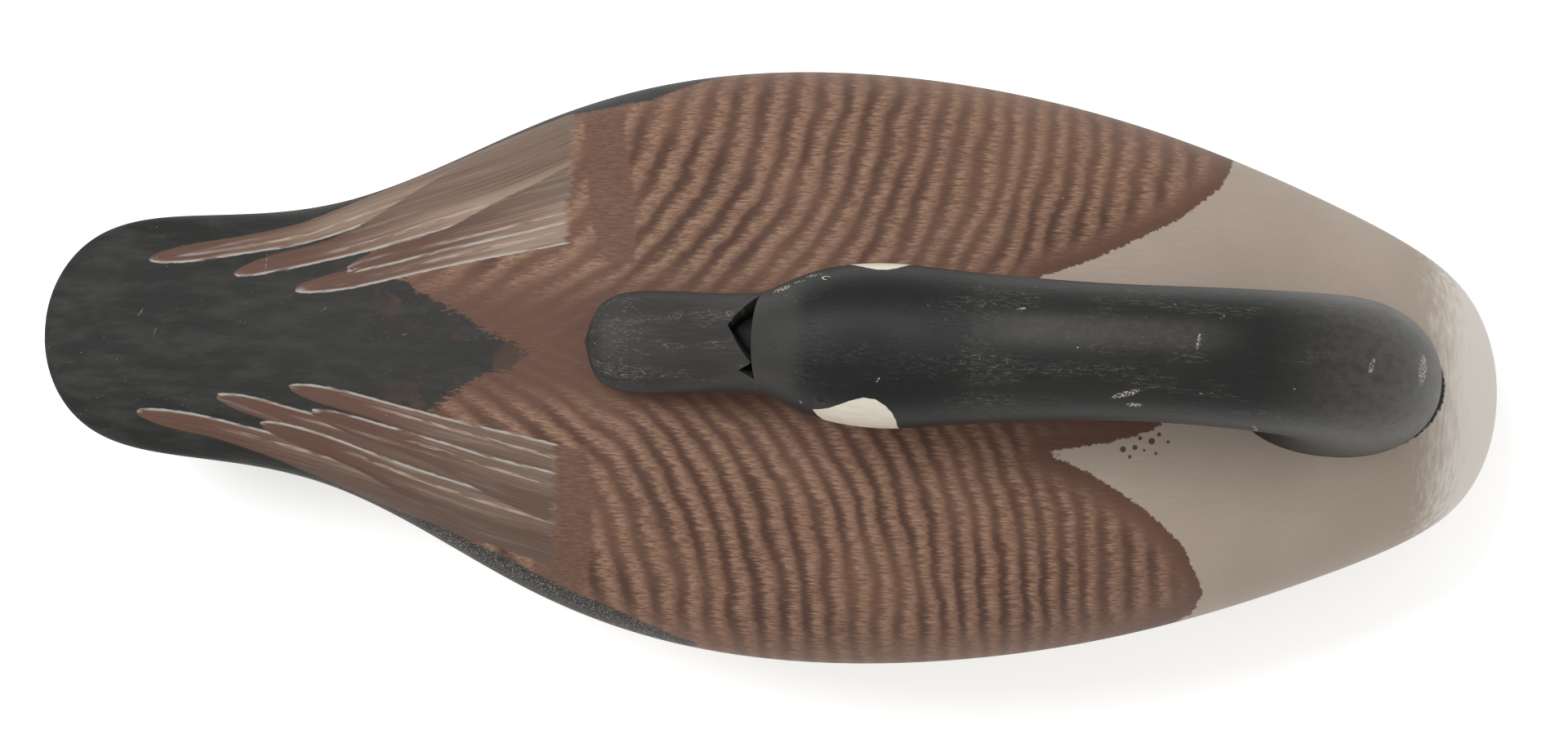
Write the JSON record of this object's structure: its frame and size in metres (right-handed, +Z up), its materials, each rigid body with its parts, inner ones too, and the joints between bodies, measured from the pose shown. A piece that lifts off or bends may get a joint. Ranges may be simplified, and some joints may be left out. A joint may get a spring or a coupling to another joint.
{
  "type": "floating sleeper goose decoy",
  "caption": "Hollow two-part carved wooden floating goose decoy, asleep with its neck turned back over its body, with let-in ballast and a ring for an anchor line.",
  "frame": {"origin": "centre of the overall box at the level that the flat of the hull stands on", "axes": "+X from the tail to the breast, +Y to the bird's left, +Z up"},
  "size_m": [0.64, 0.2598, 0.2158],
  "materials": {
    "back_paint": "brown, tan and black oil paint on cedar, worn satin",
    "hull_paint": "pale tan and off-white oil paint on cedar, matte",
    "seam_filler": "white-lead caulk, matte",
    "bare_wood": "bare hardwood dowel",
    "neck_paint": "black oil paint on pine, crazed satin",
    "head_paint": "black oil paint with off-white cheeks, satin",
    "bill_paint": "black oil paint on hardwood, satin",
    "eye_glass": "dark brown glass, polished",
    "eye_putty": "painted putty, matte",
    "lead": "dull cast lead",
    "screw_brass": "tarnished brass",
    "tie_brass": "tarnished brass wire",
    "lag_steel": "plain zinc-coated steel"
  },
  "bodies": {
    "decoy": {"back_shell": "back_paint", "hull_shell": "hull_paint", "seam_caulk": "seam_filler", "seam_dowel_1": "bare_wood", "seam_dowel_2": "bare_wood", "seam_dowel_3": "bare_wood", "seam_dowel_4": "bare_wood", "seam_dowel_5": "bare_wood", "seam_dowel_6": "bare_wood", "seam_dowel_7": "bare_wood", "neck": "neck_paint", "head": "head_paint", "head_dowel": "bare_wood", "neck_dowel_front": "bare_wood", "neck_dowel_rear": "bare_wood", "neck_lag_screw": "lag_steel", "neck_washer": "lag_steel", "bill": "bill_paint", "bill_pin": "bare_wood", "eye_left": "eye_glass", "eye_right": "eye_glass", "eye_putty_left": "eye_putty", "eye_putty_right": "eye_putty", "ballast_weight": "lead", "ballast_screw_1": "screw_brass", "ballast_screw_2": "screw_brass", "ballast_screw_3": "screw_brass", "ballast_screw_4": "screw_brass", "line_staple": "tie_brass"},
    "tie_ring": {"line_ring": "tie_brass"}
  },
  "joints": [
    {"name": "line_ring_swing", "type": "hinge", "parent": "decoy", "child": "tie_ring", "pos_m": [0.262, 0, 0.01052], "axis": [-1, 0, 0], "range_deg": [-6, 140]}
  ]
}
